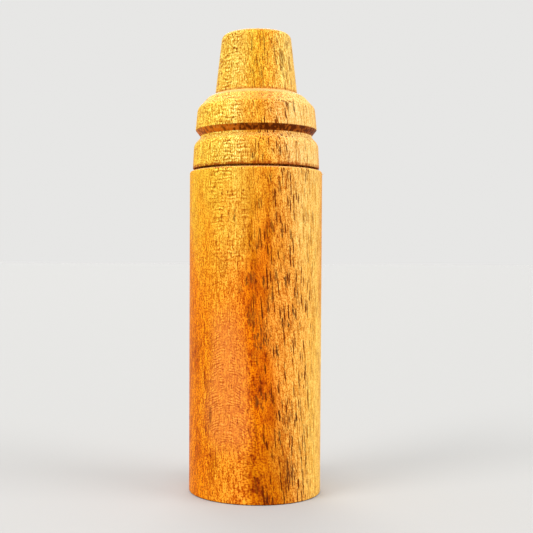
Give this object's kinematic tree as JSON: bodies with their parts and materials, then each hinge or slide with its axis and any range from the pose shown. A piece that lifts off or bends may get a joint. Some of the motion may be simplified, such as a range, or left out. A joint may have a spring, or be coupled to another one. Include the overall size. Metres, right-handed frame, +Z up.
{
  "type": "turkey call",
  "caption": "Turned wooden mouth-blown turkey locator call: open barrel, plug-in mouthpiece with lanyard groove, and a tone board with a film reed inside.",
  "frame": {"origin": "centre of the barrel's bell end, the face that the call stands on", "axes": "+Z up the call's axis, from the bell end to the mouthpiece's tip; -Y is the side that the reed faces"},
  "size_m": [0.0304, 0.0304, 0.1047],
  "materials": {
    "hardwood": "oiled and buffed to a satin",
    "ring_rubber": "matte with a thin film of grease",
    "tone_board_acrylic": "machined, then polished",
    "reed_film": "frosted translucent film",
    "wedge_cork": "cut cork, open-grained"
  },
  "bodies": {
    "barrel": {"barrel": "hardwood"},
    "tenon_rings": {"tenon_ring_lower": "ring_rubber", "tenon_ring_upper": "ring_rubber"},
    "mouthpiece": {"mouthpiece": "hardwood"},
    "board_rings": {"board_ring_lower": "ring_rubber", "board_ring_upper": "ring_rubber"},
    "tone_board": {"tone_board": "tone_board_acrylic", "reed_tail": "reed_film", "reed_wedge": "wedge_cork"},
    "reed": {"reed_blade": "reed_film"}
  },
  "joints": [
    {"name": "mouthpiece_pull", "type": "slide", "parent": "barrel", "child": "tenon_rings", "axis": [0, 0, 1], "range_m": [0, 0.08]},
    {"name": "mouthpiece_twist", "type": "hinge", "parent": "tenon_rings", "child": "mouthpiece", "pos_m": [0, 0, 0.06], "axis": [0, 0, 1], "continuous": true},
    {"name": "tone_board_pull", "type": "slide", "parent": "mouthpiece", "child": "board_rings", "axis": [0, 0, -1], "range_m": [0, 0.041]},
    {"name": "tone_board_twist", "type": "hinge", "parent": "board_rings", "child": "tone_board", "pos_m": [0, 0, 0.0497], "axis": [0, 0, 1], "continuous": true},
    {"name": "reed_flex", "type": "hinge", "parent": "tone_board", "child": "reed", "pos_m": [0, -0.0008, 0.0625], "axis": [-1, 0, 0], "range_deg": [-2, 2.2], "stiffness_Nm_per_rad": 0.0005}
  ]
}
